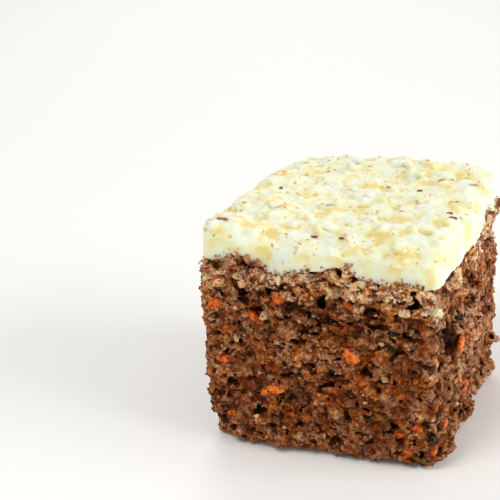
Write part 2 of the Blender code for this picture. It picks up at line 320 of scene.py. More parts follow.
def applied(piece, kind, **settings):
    """Adds a modifier, sets it and applies it."""
    bpy.context.view_layer.objects.active = piece
    modifier = piece.modifiers.new(kind.lower(), kind)
    for option, value in settings.items():
        setattr(modifier, option, value)
    bpy.ops.object.modifier_apply(modifier=modifier.name)


def finished(piece, material, node=None):
    """Gives a piece its one material, lets it ride, and hides the solid it stands for, if one is given."""
    piece.data.materials.clear()
    piece.data.materials.append(material)
    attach(piece, "root")
    if node:
        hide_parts(node)


def geometry_tree(name):
    """An empty Geometry Nodes tree, its way in and its way out."""
    tree = bpy.data.node_groups.new(name, "GeometryNodeTree")
    tree.interface.new_socket(name="Geometry", in_out="INPUT", socket_type="NodeSocketGeometry")
    tree.interface.new_socket(name="Geometry", in_out="OUTPUT", socket_type="NodeSocketGeometry")
    return tree, wire(tree, "NodeGroupInput").outputs[0], wire(tree, "NodeGroupOutput").inputs[0]


def between(tree, value, low, high, to_low=0.0, to_high=1.0):
    """A smooth step of a value between two limits."""
    made = wire(tree, "ShaderNodeMapRange", {0: value, 1: low, 2: high, 3: to_low, 4: to_high},
                interpolation_type="SMOOTHSTEP")
    return made.outputs[0]


def cells(tree, place, size, seed):
    """Distance to the middle of the nearest cell of about a size: 0 at its middle, near 1 at its edge."""
    moved = vector_maths(tree, "ADD", place, (seed, 2 * seed, 3 * seed))
    return wire(tree, "ShaderNodeTexVoronoi", {"Vector": moved, "Scale": 1 / size}).outputs["Distance"]


def clouds(tree, place, size, seed, detail=2.0):
    """Noise with lumps of about a size, from 0 to 1 round 0.5."""
    moved = vector_maths(tree, "ADD", place, (seed, 2 * seed, 3 * seed))
    made = wire(tree, "ShaderNodeTexNoise", {"Vector": moved, "Scale": 1 / size, "Detail": detail})
    return made.outputs[0]


def distance_outside(tree, form):
    """Distance from the skin of a form, below 0 inside it, and the way its nearest face looks."""
    place = here(tree)
    near = wire(tree, "GeometryNodeProximity", {0: form}, target_element="FACES")
    normal = wire(tree, "GeometryNodeInputNormal").outputs[0]
    facing = wire(tree, "GeometryNodeSampleNearestSurface", {"Mesh": form}, data_type="FLOAT_VECTOR")
    tree.links.new(normal, facing.inputs["Value"])
    away = vector_maths(tree, "SUBTRACT", place, near.outputs["Position"])
    side = maths(tree, "SIGN", along_way(tree, away, facing.outputs["Value"]))
    outside = times(tree, side, near.outputs["Distance"])
    return outside, facing.outputs["Value"]


def skinned(piece, relief, low, high, step):
    """Turns a piece into the skin of its own form moved out by a relief, both in millimetres.

    relief(tree, place, facing) gives how far the skin stands out of the form at a place.
    """
    tree, given, result = geometry_tree(piece.name + "_field")
    form = wire(tree, "GeometryNodeTransform", {"Geometry": given, "Scale": (1 / MM,) * 3}).outputs[0]
    outside, facing = distance_outside(tree, form)
    place = here(tree)
    level = minus(tree, outside, relief(tree, place, facing))
    middle = (Vector(low) + Vector(high)) / (2 * MM)
    half = (Vector(high) - Vector(low)) / (2 * MM)
    from_middle = vector_maths(tree, "ABSOLUTE", vector_maths(tree, "SUBTRACT", place, middle))
    beyond = coordinates(tree, vector_maths(tree, "SUBTRACT", from_middle, half))
    for axis in range(3):
        level = maths(tree, "MAXIMUM", level, beyond[axis])
    start = [c - h - FIELD_MARGIN for c, h in zip(middle, half)]
    end = [c + h + FIELD_MARGIN for c, h in zip(middle, half)]
    counts = [math.ceil((b - a) / step) for a, b in zip(start, end)]
    cube = wire(tree, "GeometryNodeVolumeCube", {
        "Density": minus(tree, 0.0, level), "Background": -1.0, "Min": start, "Max": end,
        "Resolution X": counts[0], "Resolution Y": counts[1], "Resolution Z": counts[2],
    }).outputs[0]
    skin = wire(tree, "GeometryNodeVolumeToMesh", {"Volume": cube, "Threshold": 0.0}).outputs[0]
    small = wire(tree, "GeometryNodeTransform", {"Geometry": skin, "Scale": (MM,) * 3}).outputs[0]
    tree.links.new(small, result)
    applied(piece, "NODES", node_group=tree)
    keep_largest_skin(piece)
    triangles = sum(len(p.vertices) - 2 for p in piece.data.polygons)
    if triangles > MOST_TRIANGLES:
        applied(piece, "DECIMATE", ratio=MOST_TRIANGLES / triangles)


def keep_largest_skin(piece):
    """Removes scraps and sealed bubbles: only the largest linked skin stays."""
    mesh = bmesh.new()
    mesh.from_mesh(piece.data)
    unseen = set(mesh.verts)
    skins = []
    while unseen:
        reached = [unseen.pop()]
        skin = list(reached)
        while reached:
            for edge in reached.pop().link_edges:
                for vertex in edge.verts:
                    if vertex in unseen:
                        unseen.remove(vertex)
                        reached.append(vertex)
                        skin.append(vertex)
        skins.append(skin)
    skins.sort(key=len)
    bmesh.ops.delete(mesh, geom=[v for skin in skins[:-1] for v in skin], context="VERTS")
    mesh.to_mesh(piece.data)
    mesh.free()


def measured(piece, form, other=None):
    """Stores for each point how deep it lies under the form and how hollow the skin is round it.

    With another piece it stores how far apart that is too. All are in millimetres.
    """
    tree, given, result = geometry_tree(piece.name + "_measure")
    outside, _ = distance_outside(tree, skin_of(tree, form))
    deep = maths(tree, "DIVIDE", outside, -MM)
    place = here(tree)
    blurred = wire(tree, "GeometryNodeBlurAttribute", {"Iterations": BLUR}, data_type="FLOAT_VECTOR")
    tree.links.new(place, blurred.inputs["Value"])
    pull = vector_maths(tree, "SUBTRACT", blurred.outputs["Value"], place)
    normal = wire(tree, "GeometryNodeInputNormal").outputs[0]
    hollow = maths(tree, "DIVIDE", along_way(tree, pull, normal), MM)
    values = [("deep", deep), ("hollow", hollow)]
    if other:
        near = wire(tree, "GeometryNodeProximity", {0: skin_of(tree, other)}, target_element="FACES")
        values.append(("apart", maths(tree, "DIVIDE", near.outputs["Distance"], MM)))
    for name, value in values:
        stored = wire(tree, "GeometryNodeStoreNamedAttribute", {"Geometry": given, "Name": name})
        tree.links.new(value, stored.inputs["Value"])
        given = stored.outputs[0]
    tree.links.new(given, result)
    applied(piece, "NODES", node_group=tree)


def kept_in_box(piece):
    """Holds the points of a piece inside the box of the slice."""
    for vertex in piece.data.vertices:
        vertex.co = Vector([min(max(c, low), high) for c, low, high in zip(vertex.co, box_low, box_high)])


def wobble(tree, place, scale, detail):
    """A vector round 0 that changes softly from place to place."""
    made = wire(tree, "ShaderNodeTexNoise", {"Vector": place, "Scale": scale, "Detail": detail})
    return vector_maths(tree, "SUBTRACT", made.outputs["Color"], (0.5,) * 3)


def pushed(tree, place, scale, detail):
    """A place pushed about by noise."""
    return vector_maths(tree, "MULTIPLY_ADD", wobble(tree, place, scale, detail), (BEND,) * 3, place)


def far_from(tree, place, middle, half):
    """How far a place is from the middle of a hollow with a bent outline, 1 being its edge."""
    if "hollow_place" not in tree:
        tree["hollow_place"] = pushed(tree, place, *HOLLOW_BEND).node.name
    bent = tree.nodes[tree["hollow_place"]].outputs[0]
    away = vector_maths(tree, "DIVIDE", vector_maths(tree, "SUBTRACT", bent, middle), half)
    return wire(tree, "ShaderNodeVectorMath", {0: away}, operation="LENGTH").outputs["Value"]


def crumb_relief(tree, place, facing):
    """Lumps of three sizes with cracks between them, looser under the icing, and open air holes."""
    bent = pushed(tree, place, *CRUMB_BEND)
    height = coordinates(tree, place)[2]
    loose = between(tree, height, *LOOSE_BAND, 0.7, 1.3)
    relief = 0.0
    for size, deep, seed in CRUMB_LUMPS:
        relief = maths(tree, "MULTIPLY_ADD", cells(tree, bent, size, seed), -deep, relief)
    relief = times(tree, plus(tree, relief, CRUMB_RAISE), loose)
    flat = vector_maths(tree, "MULTIPLY", place, (1.0, 1.0, 1.6))
    for size, seed, start, full, deep in PITS:
        pit = between(tree, clouds(tree, flat, size, seed, 3.0), start, full, 0.0, -deep)
        relief = plus(tree, relief, pit)
    size, seed, start, full, deep = BAND_PITS
    gap = between(tree, clouds(tree, flat, size, seed, 2.0), start, full, 0.0, -deep)
    relief = maths(tree, "MULTIPLY_ADD", gap, between(tree, height, *BAND_PIT_HEIGHTS), relief)
    relief = plus(tree, relief, between(tree, height, *BAND_PROUD_HEIGHTS, 0.0, BAND_PROUD))
    size, seed, middle, deep = RIGHT_FOLDS
    to_right = between(tree, coordinates(tree, facing)[0], 0.3, 0.8, 0.0, deep)
    fold = minus(tree, clouds(tree, bent, size, seed, 1.0), middle)
    relief = maths(tree, "MULTIPLY_ADD", fold, to_right, relief)
    for middle, half, deep in HOLLOWS:
        far = far_from(tree, place, middle, half)
        relief = plus(tree, relief, between(tree, far, *HOLLOW_EDGE, -deep, 0.0))
    return relief


box_low, box_high = cad_box
sponge_form = copy_of("sponge", "sponge_form")
sponge = copy_of("sponge", "sponge_crumb")
crumb_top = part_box("sponge")[1].z + CRUMB_OVER * MM
skinned(sponge, crumb_relief, box_low, (box_high[0], box_high[1], crumb_top), FIELD_STEP)
kept_in_box(sponge)
measured(sponge, sponge_form)

# Where the painted light of the right cut and the colour of the dry band start and are full, and the edge
# of the places of painted shade
RIGHT_CUT_PAINTED_LIGHT = (25.0, 28.5)
DRY_BAND = (39.0, 47.0)
PAINTED_SHADE_EDGE = (0.5, 1.1)
WARM_TONES = ((0.0, (20, 5, 0)), (0.2, (66, 20, 0)), (0.4, (112, 45, 2)), (0.56, (151, 74, 20)),
              (0.72, (185, 110, 52)), (0.87, (216, 157, 98)), (1.0, (240, 208, 160)))
GREY_TONES = ((0.0, (16, 5, 2)), (0.2, (54, 20, 4)), (0.4, (97, 49, 24)), (0.56, (130, 80, 50)),
              (0.72, (164, 118, 88)), (0.87, (202, 163, 132)), (1.0, (236, 212, 188)))


def speckle(tree, place, size, seed):
    """A random value from 0 to 1 for each small cell."""
    moved = vector_maths(tree, "ADD", place, (seed, 2 * seed, 3 * seed))
    made = wire(tree, "ShaderNodeTexVoronoi", {"Vector": moved, "Scale": 1 / size}).outputs["Color"]
    return wire(tree, "ShaderNodeSeparateColor", {0: made}).outputs[0]


def mixed(tree, share, one, other):
    """A colour between two, by a share."""
    made = wire(tree, "ShaderNodeMix", {0: share}, data_type="RGBA")
    for socket, value in ((made.inputs[6], one), (made.inputs[7], other)):
        if isinstance(value, bpy.types.NodeSocket):
            tree.links.new(value, socket)
        else:
            socket.default_value = value
    return made.outputs[2]


def ramp_of(tree, value, tones):
    """A colour ramp through tones as seen."""
    ramp = wire(tree, "ShaderNodeValToRGB", {0: value})
    for number, (at, colour) in enumerate(tones):
        stop = ramp.color_ramp.elements[number] if number < 2 else ramp.color_ramp.elements.new(at)
        stop.position = at
        stop.color = srgb(*colour)
    return ramp.outputs["Color"]


def crumb_colour(tree, place, tone):
    """The browns of the crumb along a tone: more orange or greyer in patches, moist and red, or olive, with
    painted light on the right cut and painted shade in its torn holes.
    """
    patch = plus(tree, clouds(tree, place, 1.3, 23.0, 1.0), clouds(tree, place, 4.5, 27.0, 1.0))
    across, along, height = coordinates(tree, place)
    # Painted light and shade: the right cut is painted darker near the front corner and lighter towards the
    # back.
    painted_light_to_back = between(tree, along, -25.0, -8.0, -0.02, 0.08)
    tone = plus(tree, tone, times(tree, between(tree, across, *RIGHT_CUT_PAINTED_LIGHT), painted_light_to_back))
    # Painted shade: the listed torn holes are painted nearly black.
    for middle, half, painted_shade in PAINTED_SHADE_PLACES:
        far = far_from(tree, place, middle, half)
        tone = plus(tree, tone, between(tree, far, *PAINTED_SHADE_EDGE, -painted_shade, 0.0))
    patch = plus(tree, patch, between(tree, height, 38.0, 46.0, 0.0, -0.03))
    # Painted light: the right cut is painted greyer as well.
    patch = plus(tree, patch, between(tree, across, *RIGHT_CUT_PAINTED_LIGHT, 0.0, 0.05))
    grey = between(tree, patch, 0.82, 1.12)
    plain = mixed(tree, grey, ramp_of(tree, tone, WARM_TONES), ramp_of(tree, tone, GREY_TONES))
    moist = between(tree, clouds(tree, place, 4.0, 41.0, 2.0), 0.52, 0.68, 0.0, 0.4)
    redder = mixed(tree, moist, plain, mixed(tree, 0.5, plain, srgb(158, 62, 16)))
    olive = between(tree, clouds(tree, place, 3.0, 57.0, 2.0), 0.56, 0.66)
    low = times(tree, between(tree, height, 25.0, 5.0, 0.35, 0.8), olive)
    return mixed(tree, low, redder, mixed(tree, 0.45, plain, srgb(128, 96, 36)))


def varied(tree, value, pattern, share):
    """A value moved up and down by a pattern that runs from 0 to 1."""
    return maths(tree, "MULTIPLY_ADD", minus(tree, pattern, 0.5), share, value)


def on_object(tree):
    """The place on the object in millimetres."""
    place = wire(tree, "ShaderNodeTexCoord").outputs["Object"]
    return vector_maths(tree, "MULTIPLY", place, (1 / MM,) * 3)


def measure_of(tree, name):
    """A value stored on the piece's points, for its finish."""
    return wire(tree, "ShaderNodeAttribute", attribute_name=name).outputs["Fac"]


def grainy(tree, shader, place, size, strength):
    """Fine bumps, finer than the mesh."""
    grains = clouds(tree, place, size, 12.0, 3.0)
    bump = wire(tree, "ShaderNodeBump", {"Strength": strength, "Distance": size * MM, "Height": grains})
    tree.links.new(bump.outputs[0], shader.inputs["Normal"])


crumb_finish, tree, shader = new_material("moist_carrot_crumb")
place = on_object(tree)
deep = measure_of(tree, "deep")
height = coordinates(tree, place)[2]
tone = between(tree, height, 8.0, 34.0, 0.43, 0.48)
for size, seed, share in ((9.0, 3.0, 0.45), (2.4, 7.0, 0.6), (0.7, 1.0, 0.5)):
    tone = varied(tree, tone, clouds(tree, place, size, seed, 2.0), share)
for size, seed, share in ((1.0, 5.0, 0.16), (0.5, 9.0, 0.22)):
    tone = varied(tree, tone, speckle(tree, place, size, seed), share)
# Painted shade and light: the crumb is painted darker in its hollows and the deeper it lies under the form,
# and lighter on its bumps.
tone = plus(tree, tone, between(tree, measure_of(tree, "hollow"), -0.6, 0.6, 0.16, -0.26))
tone = plus(tree, tone, between(tree, deep, 0.8, 3.4, 0.0, -0.24))
tone = plus(tree, tone, between(tree, deep, 2.8, 4.4, 0.0, -0.25))
tone = plus(tree, tone, between(tree, height, *DRY_BAND, 0.0, 0.25))
tree.links.new(crumb_colour(tree, place, tone), shader.inputs["Base Color"])
shader.inputs["Roughness"].default_value = 0.55
shader.inputs["Specular IOR Level"].default_value = 0.22
shader.inputs["Specular Tint"].default_value = (1.0, 0.72, 0.45, 1)
grainy(tree, shader, place, 0.45, 0.8)
finished(sponge, crumb_finish, "sponge")


# The icing: soft cream cheese icing spread on with a knife and cut with the slice, so that its sides
# are smooth and its top is rough with chopped nut stirred into it and strewn over it.
ICING_STEP = 0.4

# Swells of the spread top: size, seed, height. Coated bits of nut: size, seed, height, and between which
# values of a noise they come up
SWELLS = ((9.0, 2.0, 1.6), (3.8, 6.0, 1.5), (1.4, 13.0, 0.35))
NUT_LUMPS = ((4.6, 4.0, 1.0, 0.48, 0.57), (2.8, 9.0, 0.4, 0.46, 0.56))
ICING_RAISE = 0.3
ICING_BULGE = 1.0
SPOT_SIZE = 2.4
SPOT_SEED = 61.0


def marked(piece, name, value):
    """Stores one value on all points of a piece."""
    stored = piece.data.attributes.new(name, "FLOAT", "POINT")
    stored.data.foreach_set("value", [value] * len(piece.data.vertices))


def icing_relief(tree, place, facing):
    """Soft swells and coated bits of nut on the top, dying out down the cut sides, which only waver."""
    up = coordinates(tree, facing)[2]
    on_top = between(tree, up, 0.15, 0.8)
    lumps = ICING_RAISE
    for size, seed, high in SWELLS:
        lumps = varied(tree, lumps, clouds(tree, place, size, seed, 2.0), high)
    for size, seed, high, start, full in NUT_LUMPS:
        shown = between(tree, clouds(tree, place, 2 * size, seed + 20, 1.0), start, full)
        nut = between(tree, cells(tree, place, size, seed), 0.0, 0.6, high, 0.0)
        lumps = maths(tree, "MULTIPLY_ADD", nut, shown, lumps)
    waver = maths(tree, "MULTIPLY_ADD", clouds(tree, place, 4.0, 2.0, 2.0), 1.4, -0.6)
    drips = between(tree, up, -0.2, -0.7, 0.0, 1.0)
    hanging = maths(tree, "MULTIPLY_ADD", clouds(tree, place, 2.6, 33.0, 2.0), 1.6, -0.8)
    relief = maths(tree, "MULTIPLY_ADD", lumps, on_top, waver)
    return maths(tree, "MULTIPLY_ADD", hanging, drips, relief)


icing_form = copy_of("icing", "icing_form")
icing = copy_of("icing", "cream_icing")
icing_low, icing_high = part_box("icing")
bulge = Vector((ICING_BULGE, ICING_BULGE, 0)) * MM
hang = Vector((0, 0, ICING_BULGE)) * MM
applied(icing, "SUBSURF", levels=1, render_levels=1)
skinned(icing, icing_relief, icing_low - bulge - hang, icing_high + bulge, ICING_STEP)
kept_in_box(icing)
measured(icing, icing_form, sponge)
marked(icing, "cream", 1.0)

cream, tree, shader = new_material("soft_cream")
place = on_object(tree)
# Painted shade: the cream is painted more butter yellow in its hollows, on top of its own butter yellow
# patches.
hollow = between(tree, measure_of(tree, "hollow"), -0.3, 0.3, -0.1, 0.14)
butter_and_painted_shade = plus(tree, clouds(tree, place, 6.0, 8.0, 1.0), hollow)
CREAM_TONES = ((0.38, (235, 240, 222)), (0.53, (238, 238, 202)), (0.72, (238, 220, 148)))
cream_colour = ramp_of(tree, butter_and_painted_shade, CREAM_TONES)
spots = between(tree, cells(tree, place, SPOT_SIZE, SPOT_SEED), 0.12, 0.3, 1.0, 0.0)
some = between(tree, speckle(tree, place, SPOT_SIZE, SPOT_SEED), 0.55, 0.75)
on_top = between(tree, coordinates(tree, place)[2], 53.0, 57.0, 0.3, 0.8)
spotted = mixed(tree, times(tree, spots, some, on_top), cream_colour, srgb(228, 188, 108))
tree.links.new(spotted, shader.inputs["Base Color"])
shader.inputs["Roughness"].default_value = 0.5
shader.inputs["Subsurface Weight"].default_value = 0.8
shader.inputs["Subsurface Radius"].default_value = (1.0, 0.75, 0.3)
shader.inputs["Subsurface Scale"].default_value = 0.004
finished(icing, cream, "icing")


# The coarse crumbs: knots of dry crumb of 1 to 4 mm that hang on where the knife tore the sponge, mostly
# in the band under the icing, lighter than the moist crumb below. A knot is a few grains baked together.
EDGE_CRUMBS = (0.5, 2.0)
EDGE_SHARE = 5.0
PAINTED_GLINT_SHARE = 0.03
KNOT_GRAINS = 4
KNOT_SIZE = (0.5, 1.8)
KNOT_COUNT = 1700
CUT_SIDES_CM2 = 190
WALLS_FROM = 0.8
FEWER_AT_RIGHT = (26.0, 29.0)
SMALL_ONES = 1.7
SQUARE_CM = 1e-4
RAGGED_NOISE = (1.7, 1.0)


def random_between(tree, low, high, seed):
    """A random vector for each point."""
    made = wire(tree, "FunctionNodeRandomValue", {0: low, 1: high, "Seed": seed}, data_type="FLOAT_VECTOR")
    return made.outputs[0]


def random_share(tree, seed):
    """A random number from 0 to 1 for each point."""
    return wire(tree, "FunctionNodeRandomValue", {"Seed": seed}, data_type="FLOAT").outputs[1]


def lengthened(tree, vector, factor):
    """A vector made longer or shorter."""
    made = wire(tree, "ShaderNodeVectorMath", {0: vector}, operation="SCALE")
    tree.links.new(factor, made.inputs["Scale"])
    return made.outputs[0]


def scattered(piece, grounds, density, sizes, squash, sunk, seed, ragged=0.3, flat=False):
    """Turns a small piece of unit size into many, strewn over the grounds and joined in one mesh.

    density(tree, place) is the number to a square centimetre. Each copy gets a size between two in
    millimetres, small ones being more common, a squash between two on each axis and a random turn, sits
    with a share of its size sunk, and has its points pushed about by the ragged share of a millimetre.
    With flat it lies level on the ground and turns only about the way out.
    """
    tree, given, result = geometry_tree(piece.name + "_strewn")
    all_ground = tree.nodes.new("GeometryNodeJoinGeometry")
    for ground in grounds:
        tree.links.new(skin_of(tree, ground), all_ground.inputs[0])
    place = vector_maths(tree, "MULTIPLY", here(tree), (1 / MM,) * 3)
    number = maths(tree, "DIVIDE", density(tree, place), SQUARE_CM)
    points = wire(tree, "GeometryNodeDistributePointsOnFaces",
                  {"Mesh": all_ground.outputs[0], "Density": number, "Seed": seed})
    common = maths(tree, "POWER", random_share(tree, seed + 1), SMALL_ONES)
    size = times(tree, maths(tree, "MULTIPLY_ADD", common, sizes[1] - sizes[0], sizes[0]), MM)
    scale = lengthened(tree, random_between(tree, *squash, seed + 2), size)
    lift = lengthened(tree, points.outputs["Normal"], times(tree, size, -sunk))
    placed = wire(tree, "GeometryNodeSetPosition", {"Geometry": points.outputs["Points"], "Offset": lift})
    spin = random_between(tree, (0, 0, 0), (0, 0, math.tau) if flat else (math.tau,) * 3, seed + 3)
    turn = wire(tree, "FunctionNodeEulerToRotation", {0: spin}).outputs[0]
    if flat:
        turn = wire(tree, "FunctionNodeRotateRotation", {0: points.outputs["Rotation"], 1: turn},
                    rotation_space="LOCAL").outputs[0]
    copies = wire(tree, "GeometryNodeInstanceOnPoints", {
        "Points": placed.outputs[0], "Instance": given, "Rotation": turn, "Scale": scale,
    }).outputs[0]
    for name, salt in (("tone", 4), ("kind", 5)):
        stored = wire(tree, "GeometryNodeStoreNamedAttribute", {"Geometry": copies, "Name": name},
                      domain="INSTANCE")
        tree.links.new(random_share(tree, seed + salt), stored.inputs["Value"])
        copies = stored.outputs[0]
    whole = wire(tree, "GeometryNodeRealizeInstances", {0: copies}).outputs[0]
    around = vector_maths(tree, "MULTIPLY", here(tree), (1 / MM,) * 3)
    push = vector_maths(tree, "MULTIPLY", wobble(tree, around, *RAGGED_NOISE), (2 * ragged * MM,) * 3)
    rough = wire(tree, "GeometryNodeSetPosition", {"Geometry": whole, "Offset": push})
    kept = vector_maths(tree, "MAXIMUM", here(tree), box_low)
    kept = vector_maths(tree, "MINIMUM", kept, box_high)
    held = wire(tree, "GeometryNodeSetPosition", {"Geometry": rough.outputs[0], "Position": kept})
    tree.links.new(held.outputs[0], result)
    applied(piece, "NODES", node_group=tree)


def ball(name, rounds):
    """An icosphere of unit radius."""
    deselect()
    bpy.ops.mesh.primitive_ico_sphere_add(subdivisions=rounds, radius=1)
    made = bpy.context.object
    made.name = name
    made.data.name = name
    return made


def joined(pieces, name):
    """Several objects made one."""
    deselect()
    for piece in pieces:
        piece.select_set(True)
    bpy.context.view_layer.objects.active = pieces[0]
    bpy.ops.object.join()
    pieces[0].name = name
    pieces[0].data.name = name
    return pieces[0]


def knot(name, grains, seed):
    """A clump of a few balls of unequal size, about one across."""
    draw = random.Random(seed)
    made = []
    for number in range(grains):
        grain = ball(f"{name}_{number}", 1)
        size = draw.uniform(0.35, 0.75)
        out = Vector([draw.uniform(-1, 1) for _ in range(3)]).normalized() * (1 - size) * bool(number)
        grain.data.transform(Matrix.LocRotScale(out, None, (size, size, size)))
        made.append(grain)
    return joined(made, name)


def on_walls(tree, place):
    """1 on the four cut sides, 0 under the icing and under the slice."""
    apart = coordinates(tree, vector_maths(tree, "ABSOLUTE", place))
    across = maths(tree, "DIVIDE", apart[0], box_high[0] / MM)
    along = maths(tree, "DIVIDE", apart[1], box_high[1] / MM)
    return maths(tree, "GREATER_THAN", maths(tree, "MAXIMUM", across, along), WALLS_FROM)


def named(tree, name):
    """A value stored on the ground's points."""
    return wire(tree, "GeometryNodeInputNamedAttribute", {0: name}, data_type="FLOAT").outputs[0]


def sticking(tree):
    """1 on the crumb, and on the cream above 0 only along its lower edge, where crumb sticks to it."""
    edge = between(tree, named(tree, "apart"), *EDGE_CRUMBS, EDGE_SHARE, 0.0)
    up = coordinates(tree, wire(tree, "GeometryNodeInputNormal").outputs[0])[2]
    edge = times(tree, edge, between(tree, up, -0.7, -0.4))
    return minus(tree, 1.0, times(tree, named(tree, "cream"), minus(tree, 1.0, edge)))


def knot_density(tree, place):
    """Knots to a square centimetre: most in the dry band, in patches."""
    across, _, height = coordinates(tree, place)
    band = between(tree, height, 36.0, 44.0, 0.16, 1.7)
    band = times(tree, band, between(tree, across, *FEWER_AT_RIGHT, 1.0, 0.6))
    patchy = between(tree, clouds(tree, place, 6.0, 77.0, 1.0), 0.42, 0.58, 0.35, 1.5)
    open_air = between(tree, named(tree, "deep"), 0.8, 2.6, 1.0, 0.1)
    near = times(tree, open_air, on_walls(tree, place), sticking(tree))
    return times(tree, band, patchy, near, KNOT_COUNT / CUT_SIDES_CM2)


def crumb_bits(name, base, spread, pale=0.0):
    """A crumb finish whose tone changes from bit to bit, a few of the bits being painted pale as painted
    highlights, the glints of moist crumb.
    """
    made, tree, shader = new_material(name)
    place = on_object(tree)
    tone = varied(tree, base, measure_of(tree, "tone"), spread)
    for size, seed, share in ((9.0, 3.0, 0.45), (2.4, 7.0, 0.5), (0.5, 6.0, 0.35)):
        tone = varied(tree, tone, clouds(tree, place, size, seed, 2.0), share)
    height = coordinates(tree, place)[2]
    tone = plus(tree, tone, between(tree, height, 8.0, 34.0, -0.08, -0.03))
    tone = plus(tree, tone, between(tree, height, *DRY_BAND, 0.0, 0.22))
    # Painted highlight: a few bits are painted pale, standing in for the glints of the moist crumb.
    pale = times(tree, maths(tree, "LESS_THAN", measure_of(tree, "kind"), PAINTED_GLINT_SHARE), pale)
    colour = mixed(tree, pale, crumb_colour(tree, place, tone), srgb(208, 180, 148))
    tree.links.new(colour, shader.inputs["Base Color"])
    shader.inputs["Roughness"].default_value = 0.5
    shader.inputs["Specular IOR Level"].default_value = 0.25
    shader.inputs["Specular Tint"].default_value = (1.0, 0.78, 0.55, 1)
    return made


crumbs = knot("coarse_crumbs", KNOT_GRAINS, 7)
scattered(crumbs, [sponge, icing], knot_density, KNOT_SIZE, ((0.7,) * 3, (1.3,) * 3), 0.25, 200, 0.55)
finished(crumbs, crumb_bits("dry_crumb", 0.56, 0.35))


# The carrot: coarse-grated raw carrot baked into the sponge. Where a cut crosses a shred, its end or its
# length shows as a moist orange strip that lies in the crumb.
SHREDS_IN_FULL = 3

# Side, place along it, height, length, width, tilt. The first ones show their whole length
SHREDS = (
    ("front", -12.6, 16.6, 7.4, 2.6, 22),
    ("front", 7.6, 29.6, 5.2, 3.4, -34),
    ("right", -12.0, 28.1, 6.2, 3.6, -44),
    ("front", -23.9, 8.4, 3.2, 1.7, 10),
    ("front", -11.1, 43.0, 3.8, 2.6, 10),
    ("front", -27.6, 38.9, 4.4, 2.0, 24),
    ("front", -26.3, 24.4, 4.6, 2.2, -8),
    ("front", -27.1, 47.6, 3.0, 2.2, 30),
    ("front", 6.4, 42.4, 3.4, 2.0, -20),
    ("front", 10.2, 22.3, 3.4, 1.5, 15),
    ("front", 13.6, 18.5, 2.6, 1.2, -25),
    ("front", 20.2, 8.9, 3.2, 1.4, 5),
    ("right", 27.0, 14.4, 4.6, 2.2, 80),
    ("right", -1.8, 4.2, 3.6, 1.8, 70),
    ("right", -20.8, 10.0, 3.4, 1.6, 40),
)
STREWN_SHREDS = {"front": 4, "right": 9, "back": 17, "left": 17}
SIDES = {
    "front": (Vector((0, -1, 0)), Vector((1, 0, 0))),
    "right": (Vector((1, 0, 0)), Vector((0, 1, 0))),
    "back": (Vector((0, 1, 0)), Vector((-1, 0, 0))),
    "left": (Vector((-1, 0, 0)), Vector((0, -1, 0))),
}
WALL = 32.0
SHRED_SUNK = 0.3
STREWN_ALONG = 27
STREWN_HEIGHTS = (4.0, 47.0)


def on_wall(side, along, height, ground, reach=1.2):
    """Where a wall's skin stands at a place along it and a height, in millimetres, past its small pits."""
    outward, sideways = SIDES[side]
    found = []
    for across in (-reach, 0, reach):
        for up in (-0.6 * reach, 0, 0.6 * reach):
            start = outward * 2 * WALL + sideways * (along + across) + Vector((0, 0, height + up))
            hit, place, _, _ = ground.ray_cast(start * MM, -outward)
            found.append(place.dot(outward) / MM if hit else WALL)
    found.sort()
    return outward * (sum(found[4:]) / len(found[4:])) + sideways * along + Vector((0, 0, height))


def lying(side, tilt, lean=0.0):
    """A turn that lays something with its length along the wall, tilted in the wall, in degrees."""
    outward, sideways = SIDES[side]
    upright = Matrix((sideways, Vector((0, 0, 1)), outward)).transposed().to_4x4()
    tilted = upright @ Matrix.Rotation(math.radians(tilt), 4, "Z")
    return tilted @ Matrix.Rotation(math.radians(lean), 4, "Y")


def laid(piece, place, turn):
    """Turns a piece made in millimetres and puts it at its place."""
    piece.data.transform(Matrix.Scale(MM, 4) @ Matrix.Translation(place) @ turn)


def strewn_places(draw, counts, apart):
    """Random places on the walls, no two close together: side, along, height."""
    found = []
    for side, count in counts.items():
        taken = []
        while len(taken) < count:
            along = draw.uniform(-STREWN_ALONG, STREWN_ALONG)
            height = draw.uniform(*STREWN_HEIGHTS)
            if all(math.hypot(along - a, height - h) > apart for a, h in taken):
                taken.append((along, height))
        found += [(side, along, height) for along, height in taken]
    return found


def strip_of_carrot(name, length, width, draw):
    """A shred: a flat bar with a worn crescent outline, in millimetres."""
    deselect()
    bpy.ops.mesh.primitive_cube_add(size=1)
    bar = bpy.context.object
    bar.name = name
    bpy.ops.object.mode_set(mode="EDIT")
    bpy.ops.mesh.select_all(action="SELECT")
    bpy.ops.mesh.subdivide(number_cuts=5)
    bpy.ops.object.mode_set(mode="OBJECT")
    sway = draw.uniform(0.1, 0.3) * draw.choice((-1, -1, 1))
    seed = Vector((draw.uniform(0, 50), 0, 0))
    for vertex in bar.data.vertices:
        x, y, z = vertex.co * 2
        round_end = math.sqrt(max(0.0, 1 - abs(x) ** 3)) * 0.85 + 0.15
        edge = 1 - 0.35 * abs(y) ** 3
        vertex.co = Vector((x * length / 2, y * width / 2 * round_end + sway * width * (1 - x * x),
                            z * 0.75 * edge * (0.5 + 0.5 * round_end)))
        vertex.co += 0.22 * noise.noise_vector(vertex.co * 0.9 + seed)
    return bar


